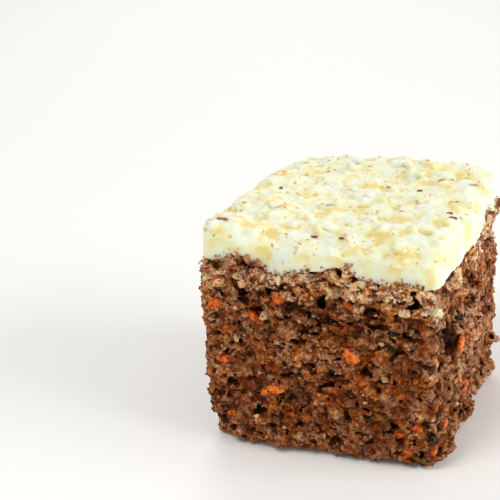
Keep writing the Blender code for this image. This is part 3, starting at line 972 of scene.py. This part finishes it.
draw = random.Random(12)
shreds = []
for number, (side, along, height, length, width, tilt) in enumerate(SHREDS):
    bar = strip_of_carrot(f"shred_{number}", length, width, draw)
    sunk = SHRED_SUNK * draw.uniform(1.2, 2.0)
    if number < SHREDS_IN_FULL:
        sunk = SHRED_SUNK if side == "front" else -SHRED_SUNK
    place = on_wall(side, along, height, sponge, length / 3) - SIDES[side][0] * sunk
    laid(bar, place, lying(side, tilt, draw.uniform(-8, 8)))
    # Painted shade: the sunk shreds are painted darker than those that show in full.
    marked(bar, "tone", 0.05 if number < SHREDS_IN_FULL else draw.uniform(-0.1, 0.0))
    marked(bar, "clean", 0.9 if number < SHREDS_IN_FULL else 0.6)
    shreds.append(bar)
for side, along, height in strewn_places(draw, STREWN_SHREDS, 6.0):
    bar = strip_of_carrot(f"shred_{len(shreds)}", draw.uniform(2.4, 6.5), draw.uniform(1.1, 2.6), draw)
    place = on_wall(side, along, height, sponge) - SIDES[side][0] * SHRED_SUNK * draw.uniform(1.2, 2.8)
    tilt = draw.uniform(-90, 90)
    laid(bar, place, lying(side, tilt, draw.uniform(-14, 14)))
    # Painted shade: the strewn shreds, all sunk, are painted darker too.
    marked(bar, "tone", draw.uniform(-0.14, -0.02))
    marked(bar, "clean", 0.5)
    shreds.append(bar)
carrot = joined(shreds, "carrot_shreds")
kept_in_box(carrot)
bpy.ops.object.shade_smooth()

carrot_finish, tree, shader = new_material("baked_carrot")
place = on_object(tree)
mottle = plus(tree, clouds(tree, place, 1.1, 4.0, 3.0), measure_of(tree, "tone"))
CARROT_TONES = ((0.28, (124, 46, 4)), (0.40, (196, 82, 14)), (0.52, (230, 108, 32)), (0.70, (240, 146, 72)))
tree.links.new(ramp_of(tree, mottle, CARROT_TONES), shader.inputs["Base Color"])
shader.inputs["Roughness"].default_value = 0.42
shader.inputs["Specular IOR Level"].default_value = 0.3
shader.inputs["Specular Tint"].default_value = (1.0, 0.8, 0.55, 1)
shader.inputs["Subsurface Weight"].default_value = 0.2
shader.inputs["Subsurface Radius"].default_value = (1.0, 0.4, 0.1)
shader.inputs["Subsurface Scale"].default_value = 0.0015
grainy(tree, shader, place, 0.5, 0.7)
finished(carrot, carrot_finish)


# The nuts in the sponge: bits of walnut and seed baked in, pale cream to tan, 1 to 3 mm, that the knife
# has cut or torn free. The named ones are those that stand out in the photo.
NUT_BITS = (
    ("front", -14.8, 37.1, 1.5),
    ("front", 2.0, 45.2, 1.5),
    ("front", -22.4, 30.1, 1.0),
    ("front", 14.8, 33.0, 0.8),
    ("front", 17.1, 47.0, 1.2),
    ("front", 20.9, 43.0, 1.7),
    ("front", 22.0, 47.2, 1.1),
    ("front", -20.6, 48.6, 1.3),
    ("right", -16.0, 46.0, 1.6),
    ("right", -11.0, 48.0, 1.3),
)
NUT_BIT_COUNT = 90


def nut_bit_density(tree, place):
    """Bits of nut to a square centimetre."""
    return times(tree, on_walls(tree, place), NUT_BIT_COUNT / CUT_SIDES_CM2)


def chip(name, draw, rounds=1):
    """An angular bit of about unit radius: an icosphere with its points pushed about."""
    made = ball(name, rounds)
    for vertex in made.data.vertices:
        vertex.co *= draw.uniform(0.7, 1.15)
    return made


draw = random.Random(5)
strewn = chip("nut_bits", draw)
scattered(strewn, [sponge], nut_bit_density, (0.3, 1.0), ((0.6,) * 3, (1.3,) * 3), 0.0, 300, 0.2)
cut_nuts = []
for number, (side, along, height, size) in enumerate(NUT_BITS):
    bit = knot(f"nut_bit_{number}", 5, number)
    for vertex in bit.data.vertices:
        vertex.co += 0.25 * noise.noise_vector(vertex.co * 3 + Vector((number, 0, 0)))
    marked(bit, "tone", draw.uniform(0.5, 1.0))
    place = on_wall(side, along, height, sponge)
    laid(bit, place, Matrix.Rotation(draw.uniform(0, math.tau), 4, "Z") @ Matrix.Scale(size, 4))
    cut_nuts.append(bit)
nut_bits = joined([strewn] + cut_nuts, "nut_bits")
kept_in_box(nut_bits)
marked(nut_bits, "clean", 0.5)

nut_finish, tree, shader = new_material("pale_nut")
place = on_object(tree)
mottle = times(tree, clouds(tree, place, 0.7, 8.0, 2.0), 0.6)
mottle = maths(tree, "MULTIPLY_ADD", measure_of(tree, "tone"), 0.5, mottle)
NUT_TONES = ((0.2, (140, 92, 48)), (0.45, (190, 144, 90)), (0.7, (216, 180, 124)), (0.95, (236, 216, 170)))
tree.links.new(ramp_of(tree, mottle, NUT_TONES), shader.inputs["Base Color"])
shader.inputs["Roughness"].default_value = 0.5
grainy(tree, shader, place, 0.4, 0.5)
finished(nut_bits, nut_finish)


# The fruit: a few dark raisins and dates that the knife has cut, sunk in hollows of the crumb, wrinkled,
# nearly black, with a dull grey bloom.
FRUIT = (
    ("front", -6.0, 42.4, 2.6, 1.7, 10),
    ("front", 0.2, 37.4, 3.0, 1.1, -12),
    ("front", 17.3, 32.2, 2.4, 1.4, 10),
    ("front", 18.6, 37.4, 2.4, 1.2, 30),
)
STREWN_FRUIT = {"right": 4, "back": 6, "left": 6}
FRUIT_SUNK = 1.2
FRUIT_HALF_DEPTH = 1.4

draw = random.Random(31)
lumps = []
listed = list(FRUIT)
for side, along, height in strewn_places(draw, STREWN_FRUIT, 9.0):
    form = (draw.uniform(2.2, 3.8), draw.uniform(1.3, 2.2), draw.uniform(-40, 40))
    listed.append((side, along, height) + form)
for number, (side, along, height, half_length, half_width, tilt) in enumerate(listed):
    lump = ball(f"fruit_{number}", 4)
    seed = Vector((draw.uniform(0, 50), 0, 0))
    for vertex in lump.data.vertices:
        out = vertex.co.normalized()
        vertex.co += out * (0.4 * noise.noise(out * 2.2 + seed) + 0.3 * noise.noise(out * 5.5 + seed))
    place = on_wall(side, along, height, sponge) - SIDES[side][0] * FRUIT_SUNK
    laid(lump, place, lying(side, tilt) @ Matrix.Diagonal((half_length, half_width, FRUIT_HALF_DEPTH, 1)))
    lumps.append(lump)
fruit = joined(lumps, "dark_fruit")
kept_in_box(fruit)
bpy.ops.object.shade_smooth()
marked(fruit, "clean", 0.6)

fruit_finish, tree, shader = new_material("dark_fruit_skin")
place = on_object(tree)
FRUIT_TONES = ((0.35, (14, 8, 2)), (0.52, (42, 30, 14)), (0.68, (96, 82, 56)))
tree.links.new(ramp_of(tree, clouds(tree, place, 1.1, 14.0, 4.0), FRUIT_TONES), shader.inputs["Base Color"])
shader.inputs["Roughness"].default_value = 0.6
shader.inputs["Specular IOR Level"].default_value = 0.12
shader.inputs["Specular Tint"].default_value = (1.0, 0.75, 0.5, 1)
grainy(tree, shader, place, 0.7, 0.9)
finished(fruit, fruit_finish)


# The loose grains: cutting leaves the crumb covered with grains of it, smaller than a millimetre, on the
# coarse crumbs too and thickest where the crumb is dry. They cling to the cut sides.
GRAIN_SIZE = (0.26, 0.64)
GRAIN_COUNT = 19500
SIDES_AND_CRUMBS_CM2 = 330


def grain_density(tree, place):
    """Grains to a square centimetre: fewer in deep holes and at the right, more in the dry band."""
    across, _, height = coordinates(tree, place)
    near = times(tree, between(tree, named(tree, "deep"), 0.8, 2.6, 1.0, 0.3), on_walls(tree, place))
    near = times(tree, near, between(tree, across, *FEWER_AT_RIGHT, 1.0, 0.3))
    bare = maths(tree, "MAXIMUM", named(tree, "clean"), times(tree, named(tree, "cream"), 0.5))
    near = times(tree, near, times(tree, sticking(tree), minus(tree, 1.0, bare)))
    dry = between(tree, height, 38.0, 46.0, 1.0, 1.25)
    return times(tree, near, dry, GRAIN_COUNT / SIDES_AND_CRUMBS_CM2)


def grain_of_crumb(name):
    """A pointed bit of eight faces and unit radius."""
    deselect()
    bpy.ops.mesh.primitive_cone_add(vertices=4, depth=1, end_fill_type="NOTHING", location=(0, 0, 0.5))
    made = bpy.context.object
    made.name = name
    made.data.name = name
    bpy.ops.object.transform_apply(location=True)
    applied(made, "MIRROR", use_axis=(False, False, True), merge_threshold=0.0001)
    return made


grains = grain_of_crumb("loose_grains")
grounds = [sponge, icing, crumbs, carrot, nut_bits, fruit]
scattered(grains, grounds, grain_density, GRAIN_SIZE, ((0.6,) * 3, (1.4,) * 3), 0.1, 100, 0.25)
finished(grains, crumb_bits("torn_grains", 0.5, 0.6, 0.7))


# The cream bits: scraps of the icing that the knife dragged onto the cut crumb under it, 1 to 3 mm long,
# and one strip of 12 mm. Those at the front and the right are where the photo shows some.
CREAM_BITS = (
    ("front", 28.0, 43.6, 1.6, 1.2, 10),
    ("front", -29.3, 47.1, 1.1, 0.7, 40),
    ("front", 5.9, 50.3, 0.8, 0.5, 0),
    ("front", -10.8, 48.0, 0.7, 1.3, 0),
    ("right", 6.0, 50.4, 6.0, 1.2, -32),
    ("right", -12.0, 49.5, 1.0, 0.6, 20),
    ("right", 12.0, 44.0, 0.8, 0.5, 50),
    ("back", -14.0, 48.5, 1.3, 0.8, 15),
    ("left", 10.0, 47.5, 1.2, 0.9, -20),
)
SCRAP_HALF_DEPTH = 0.9

scraps = []
for number, (side, along, height, half_length, half_width, tilt) in enumerate(CREAM_BITS):
    scrap = ball(f"cream_bit_{number}", 4)
    for vertex in scrap.data.vertices:
        around = vertex.co + Vector((3 * number, 0, 0))
        vertex.co += 0.5 * noise.noise_vector(1.3 * around) + 0.25 * noise.noise_vector(3.1 * around)
    place = on_wall(side, along, height, sponge)
    laid(scrap, place, lying(side, tilt) @ Matrix.Diagonal((half_length, half_width, SCRAP_HALF_DEPTH, 1)))
    scraps.append(scrap)
cream_bits = joined(scraps, "cream_bits")
kept_in_box(cream_bits)
bpy.ops.object.shade_smooth()
# Painted shade: marked as hollow, so that the cream finish paints them with its butter yellow painted
# shade.
marked(cream_bits, "hollow", 0.3)
finished(cream_bits, cream)


# The flecks on the icing: flakes of nut skin, spice and toasted nut, tan to brown, 0.5 to 2 mm, stirred
# into the icing and strewn over its top. The named ones are those that stand out in the photo.
GREYISH = 2.0
FLECKS = (
    (-27.1, -26.2, 1.6, 0.9, 0.9),
    (-3.9, -23.6, 1.3, 0.8, 0.95),
    (3.0, -22.5, 0.8, 0.6, 0.95),
    (24.9, -3.5, 1.0, 0.8, 0.9),
    (26.6, -7.0, 1.2, 0.7, 0.95),
    (12.8, 11.3, 0.8, 0.6, 0.98),
    (16.7, 18.8, 0.9, 0.7, 0.85),
    (-16.2, -13.4, 1.5, 1.1, 0.45),
    (2.8, -4.0, 2.0, 1.2, 0.35),
    (22.3, -16.5, 1.9, 1.1, 0.4),
    (-21.8, -0.4, 0.7, 0.6, 0.98),
    (25.3, 17.8, 1.5, 0.9, GREYISH),
    (-5.8, -6.2, 1.4, 0.7, GREYISH),
)
FLECK_COUNT = 900
FLECK_SIZE = (0.22, 0.85)
FLECK_SHAPE = ((0.5, 0.3, 0.12), (1.5, 0.8, 0.3))
FLECK_HALF_DEPTH = 0.35
ICING_TOP_CM2 = 75


def on_top_of_icing(tree, place):
    """1 on the spread top, less down the sides."""
    return between(tree, coordinates(tree, place)[2], 54.5, 57.0, 0.25, 1.0)


def fleck_density(tree, place):
    """Flecks to a square centimetre, in patches."""
    patchy = between(tree, clouds(tree, place, 7.0, 91.0, 1.0), 0.42, 0.6, 0.3, 1.8)
    return times(tree, on_top_of_icing(tree, place), patchy, FLECK_COUNT / ICING_TOP_CM2)


draw = random.Random(77)
strewn = chip("icing_flecks", draw)
scattered(strewn, [icing], fleck_density, FLECK_SIZE, FLECK_SHAPE, 0.0, 400, 0.1, flat=True)
cut_flecks = []
for number, (x, y, half_length, half_width, tone) in enumerate(FLECKS):
    fleck = chip(f"fleck_{number}", draw, 2)
    place = icing.ray_cast(Vector((x * MM, y * MM, 0.1)), Vector((0, 0, -1)))[1]
    turn = Matrix.Rotation(draw.uniform(-0.6, 0.6), 4, "Z")
    shape = Matrix.Diagonal((half_length * MM, half_width * MM, FLECK_HALF_DEPTH * MM, 1))
    fleck.data.transform(Matrix.Translation(place) @ turn @ shape)
    marked(fleck, "tone", 1.25 * tone)
    cut_flecks.append(fleck)
flecks = joined([strewn] + cut_flecks, "icing_flecks")
kept_in_box(flecks)

fleck_finish, tree, shader = new_material("toasted_flecks")
place = on_object(tree)
own = measure_of(tree, "tone")
mottle = times(tree, clouds(tree, place, 0.5, 8.0, 2.0), 0.4)
mottle = maths(tree, "MULTIPLY_ADD", own, 0.8, minus(tree, mottle, 0.2))
FLECK_TONES = ((0.0, (240, 224, 156)), (0.4, (230, 200, 120)), (0.65, (208, 168, 96)),
               (0.82, (180, 126, 70)), (0.95, (122, 62, 32)))
greyish = maths(tree, "GREATER_THAN", own, 1.5)
fleck_colour = mixed(tree, greyish, ramp_of(tree, mottle, FLECK_TONES), srgb(172, 162, 160))
tree.links.new(fleck_colour, shader.inputs["Base Color"])
shader.inputs["Roughness"].default_value = 0.5
finished(flecks, fleck_finish)

for form in (sponge_form, icing_form):
    bpy.data.objects.remove(form)
